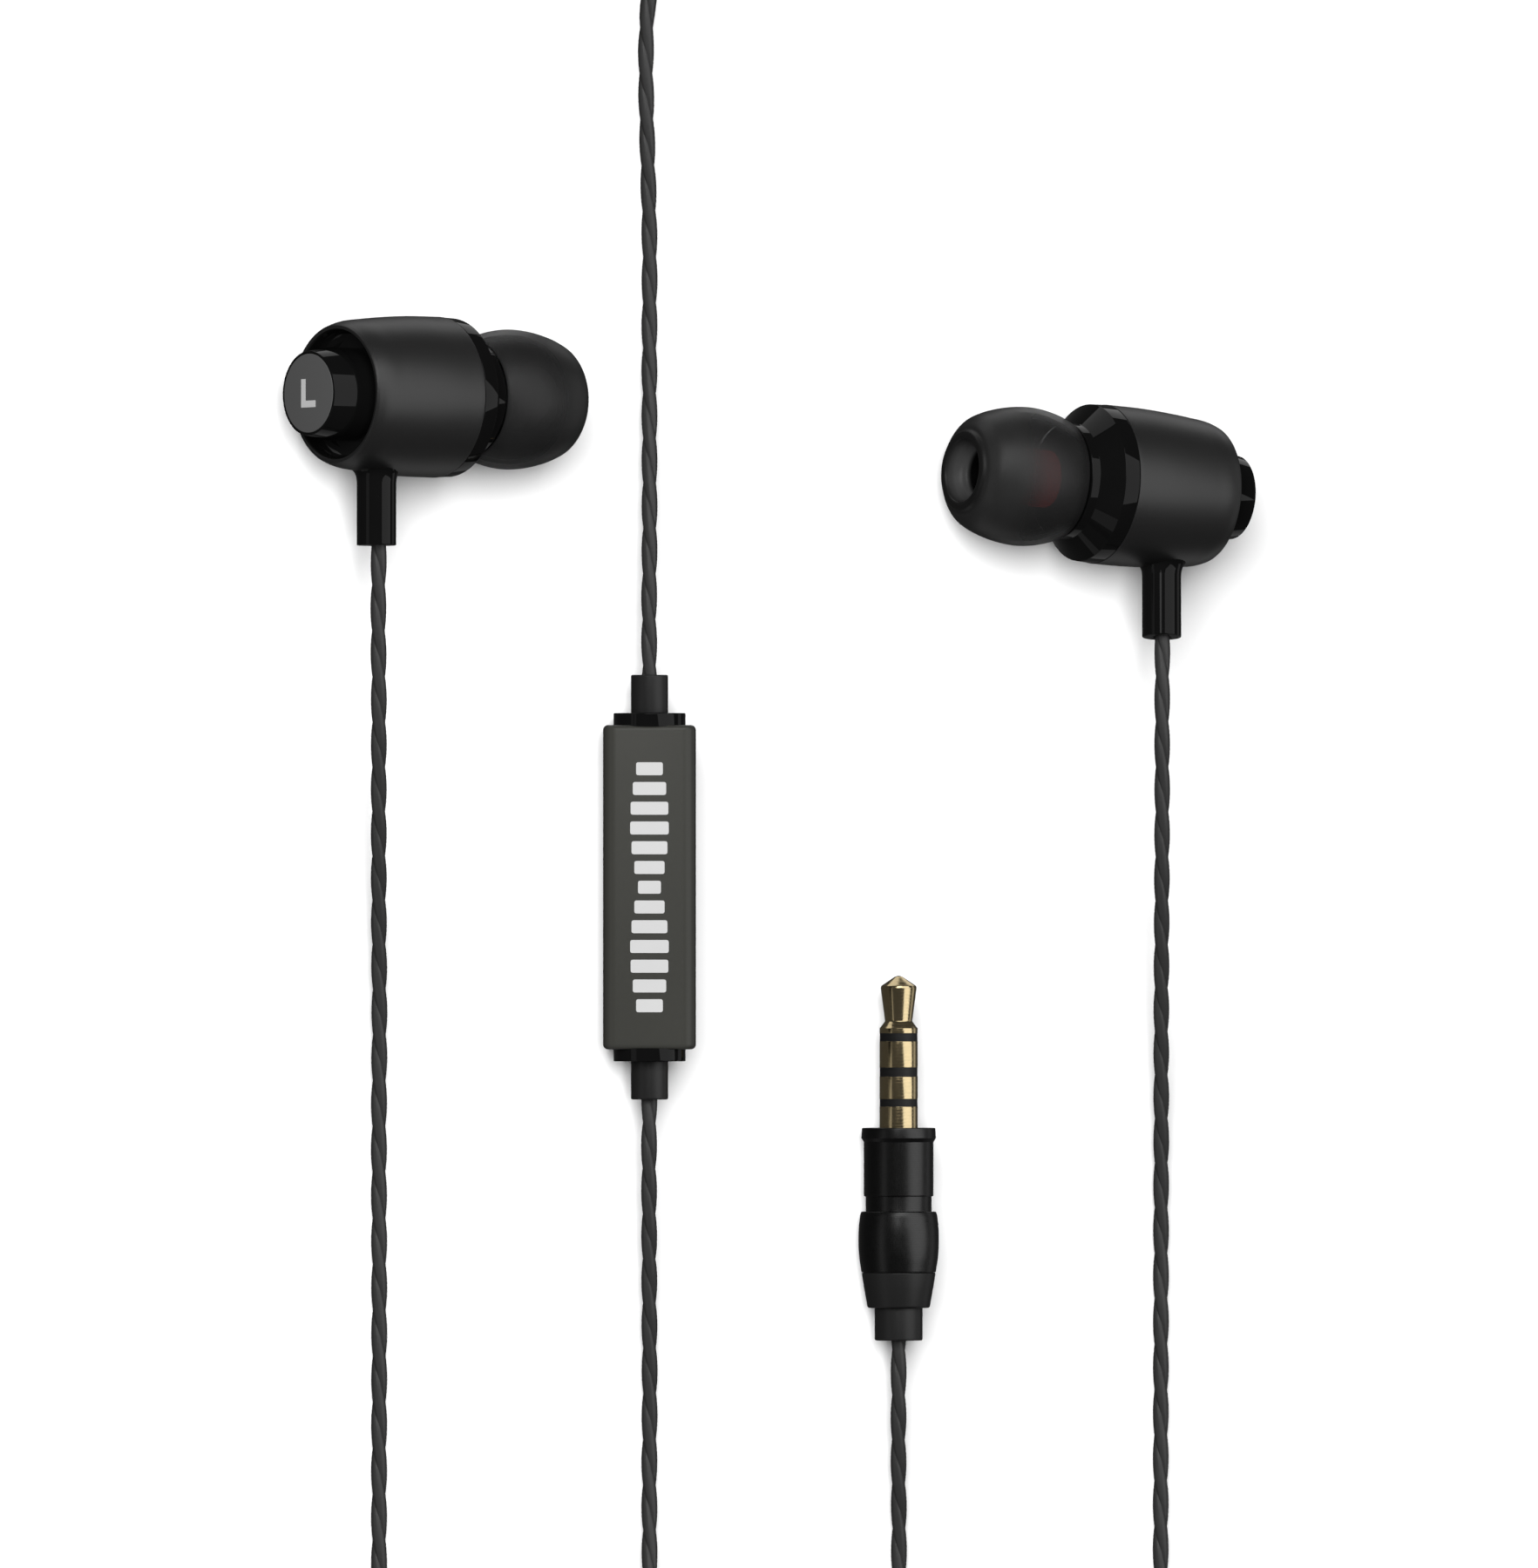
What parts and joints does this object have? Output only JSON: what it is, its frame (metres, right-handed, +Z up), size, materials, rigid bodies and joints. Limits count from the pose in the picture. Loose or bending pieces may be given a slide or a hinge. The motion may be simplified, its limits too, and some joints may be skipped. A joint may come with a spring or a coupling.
{
  "type": "wired earphones",
  "caption": "Wired in-ear earphones with tapered round housings, silicone tips, in-line remote, twisted cord and a straight 3.5 mm plug.",
  "frame": {"origin": "on the table, under the middle of the box round the two earphones", "axes": "+X from the left earphone to the right one, +Y away from the stems, +Z up from the table"},
  "size_m": [0.1479, 0.1762, 0.0149],
  "materials": {
    "housing_black": "satin black",
    "gloss_black": "gloss black",
    "cap_grey": "satin dark grey",
    "mesh_steel": "fine mesh",
    "silicone": "translucent black silicone",
    "dark_plastic": "moulded",
    "steel": "plated",
    "copper": "enamelled wire",
    "film": "thin film",
    "board_green": "solder mask",
    "ring_dark": "satin",
    "ring_red": "gloss red",
    "remote_grey": "satin dark grey",
    "relief_black": "satin black",
    "gold": "polished gold plate",
    "grip_metal": "satin dark metal",
    "cord": "satin twisted sheath",
    "tie": "woven"
  },
  "bodies": {
    "earphones": {"left_housing": "housing_black", "left_recess_cup": "gloss_black", "left_cap": "gloss_black", "left_cap_disc": "cap_grey", "left_nozzle_cover": "gloss_black", "left_nozzle_ring": "ring_dark", "left_nozzle_mesh": "mesh_steel", "left_stem": "gloss_black", "left_driver_frame": "dark_plastic", "left_driver_yoke": "steel", "left_driver_magnet": "steel", "left_driver_board": "board_green", "right_housing": "housing_black", "right_recess_cup": "gloss_black", "right_cap": "gloss_black", "right_cap_disc": "cap_grey", "right_nozzle_cover": "gloss_black", "right_nozzle_ring": "ring_red", "right_nozzle_mesh": "mesh_steel", "right_stem": "gloss_black", "right_driver_frame": "dark_plastic", "right_driver_yoke": "steel", "right_driver_magnet": "steel", "right_driver_board": "board_green", "remote_body": "remote_grey", "remote_cap_top": "gloss_black", "remote_cap_bottom": "gloss_black", "remote_relief_top": "relief_black", "remote_relief_bottom": "relief_black", "remote_board": "board_green", "remote_switch": "steel", "remote_microphone": "steel", "plug_tip": "gold", "plug_ring_front": "gold", "plug_ring_rear": "gold", "plug_sleeve": "gold", "plug_insulator": "dark_plastic", "plug_collar": "grip_metal", "plug_barrel": "grip_metal", "plug_boot": "relief_black", "plug_relief": "relief_black", "splitter": "relief_black", "splitter_relief": "relief_black", "left_cord": "cord", "right_cord": "cord", "remote_cord": "cord", "plug_cord": "cord", "left_coil": "cord", "right_coil": "cord", "plug_coil": "cord", "cord_ties": "tie"},
    "left_tip": {"left_ear_tip": "silicone"},
    "right_tip": {"right_ear_tip": "silicone"},
    "left_driver_moving": {"left_voice_coil": "copper", "left_diaphragm": "film"},
    "right_driver_moving": {"right_voice_coil": "copper", "right_diaphragm": "film"},
    "call_button": {"remote_button": "dark_plastic"}
  },
  "joints": [
    {"name": "left_tip_pull", "type": "slide", "parent": "earphones", "child": "left_tip", "axis": [0.9981, -0.0209, -0.0576], "range_m": [0, 0.007]},
    {"name": "right_tip_pull", "type": "slide", "parent": "earphones", "child": "right_tip", "axis": [-0.9949, 0.0818, -0.0593], "range_m": [0, 0.007]},
    {"name": "left_driver_stroke", "type": "slide", "parent": "earphones", "child": "left_driver_moving", "axis": [0.9981, -0.0209, -0.0576], "range_m": [-0.0002, 0.0002], "stiffness_N_per_m": 300},
    {"name": "right_driver_stroke", "type": "slide", "parent": "earphones", "child": "right_driver_moving", "axis": [-0.9949, 0.0818, -0.0593], "range_m": [-0.0002, 0.0002], "stiffness_N_per_m": 300},
    {"name": "call_button_press", "type": "slide", "parent": "earphones", "child": "call_button", "axis": [-0.5736, 0, 0.8192], "range_m": [0, 0.00025], "stiffness_N_per_m": 6000}
  ]
}
